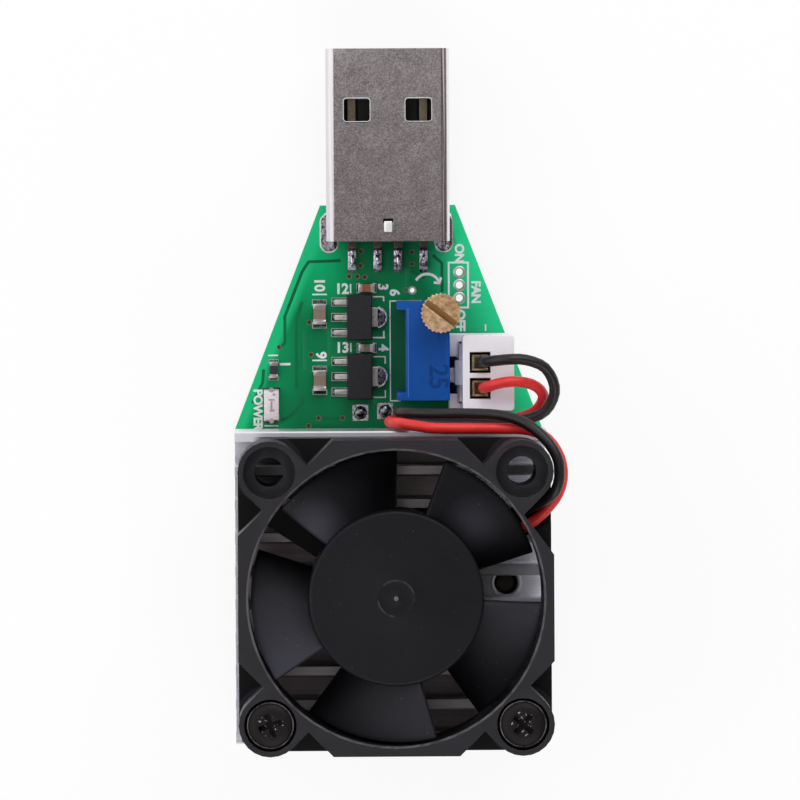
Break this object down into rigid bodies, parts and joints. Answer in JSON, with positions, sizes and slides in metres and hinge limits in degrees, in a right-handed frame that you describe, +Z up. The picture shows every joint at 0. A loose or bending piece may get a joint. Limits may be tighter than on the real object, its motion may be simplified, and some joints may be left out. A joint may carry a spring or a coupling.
{
  "type": "dc electronic load",
  "caption": "Plug-in electronic load on a tapered circuit board, with a finned heatsink, a cooling fan, a multi-turn trimmer and a USB plug.",
  "frame": {"origin": "centre of the bounding box without the fan's leads, on the plane that the ends of the pins and legs under the board rest on", "axes": "+Z up from the board's component side, +Y towards the tip of the USB plug, +X to the side that carries the fan's connector"},
  "size_m": [0.032, 0.0676, 0.0288],
  "materials": {
    "green_solder_mask": "satin solder mask",
    "nickel_plate": "nickel plated, speckled",
    "black_polyester": "moulded",
    "gold_plate": "gold plated",
    "blue_moulding": "moulded",
    "tinned_wire": "tinned",
    "brass": "machined",
    "capacitor_ceramic": "matt, tinned ends",
    "resistor_ceramic": "black glaze, tinned ends",
    "lamp_plastic": "milky lens",
    "tinned_copper": "tinned",
    "black_epoxy": "moulded",
    "white_nylon": "moulded",
    "tinned_bronze": "tinned",
    "grey_silicone": "matt",
    "bare_aluminium": "extruded, bare",
    "zinc_plate": "zinc plated",
    "black_frame_plastic": "moulded",
    "black_rotor_plastic": "moulded",
    "shaft_steel": "ground",
    "magnet_rubber": "bonded ferrite",
    "clip_nylon": "stamped",
    "sintered_bronze": "sintered",
    "laminated_steel": "stamped laminations",
    "enamelled_copper": "enamelled wire",
    "driver_board": "solder mask",
    "black_steel": "black plated",
    "black_insulation": "smooth",
    "red_insulation": "smooth"
  },
  "bodies": {
    "load": {"circuit_board": "green_solder_mask", "usb_shell": "nickel_plate", "usb_insulator": "black_polyester", "usb_contact_1": "gold_plate", "usb_contact_2": "gold_plate", "usb_contact_3": "gold_plate", "usb_contact_4": "gold_plate", "trimmer_body": "blue_moulding", "trimmer_pin_1": "tinned_wire", "trimmer_pin_2": "tinned_wire", "trimmer_pin_3": "tinned_wire", "capacitor_1": "capacitor_ceramic", "capacitor_2": "capacitor_ceramic", "capacitor_3": "capacitor_ceramic", "capacitor_4": "capacitor_ceramic", "resistor": "resistor_ceramic", "power_lamp": "lamp_plastic", "regulator_1_leads": "tinned_copper", "regulator_1_case": "black_epoxy", "regulator_2_leads": "tinned_copper", "regulator_2_case": "black_epoxy", "header_shroud": "white_nylon", "header_pin_1": "tinned_wire", "header_pin_2": "tinned_wire", "plug_housing": "white_nylon", "plug_terminal_1": "tinned_bronze", "plug_terminal_2": "tinned_bronze", "transistor_tab": "tinned_copper", "transistor_case": "black_epoxy", "transistor_lead_1": "tinned_copper", "transistor_lead_2": "tinned_copper", "transistor_lead_3": "tinned_copper", "thermal_pad": "grey_silicone", "heatsink": "bare_aluminium", "heatsink_screw": "zinc_plate", "fan_frame": "black_frame_plastic", "sleeve_bearing": "sintered_bronze", "stator_core": "laminated_steel", "coil_1": "enamelled_copper", "coil_2": "enamelled_copper", "coil_3": "enamelled_copper", "coil_4": "enamelled_copper", "fan_circuit_board": "driver_board", "fan_screw_1": "black_steel", "fan_screw_2": "black_steel", "fan_lead_black": "black_insulation", "fan_lead_red": "red_insulation"},
    "fan_impeller": {"fan_rotor": "black_rotor_plastic", "fan_shaft": "shaft_steel", "rotor_magnet": "magnet_rubber", "shaft_clip": "clip_nylon"},
    "adjusting_screw": {"trimmer_knob": "brass"}
  },
  "joints": [
    {"name": "fan_spin", "type": "hinge", "parent": "load", "child": "fan_impeller", "pos_m": [0.00017, -0.01875, 0.0238], "axis": [0, 0, 1], "continuous": true},
    {"name": "trimmer_turn", "type": "hinge", "parent": "load", "child": "adjusting_screw", "pos_m": [0.00481, 0.0081, 0.0145], "axis": [0, 0, 1], "continuous": true}
  ]
}
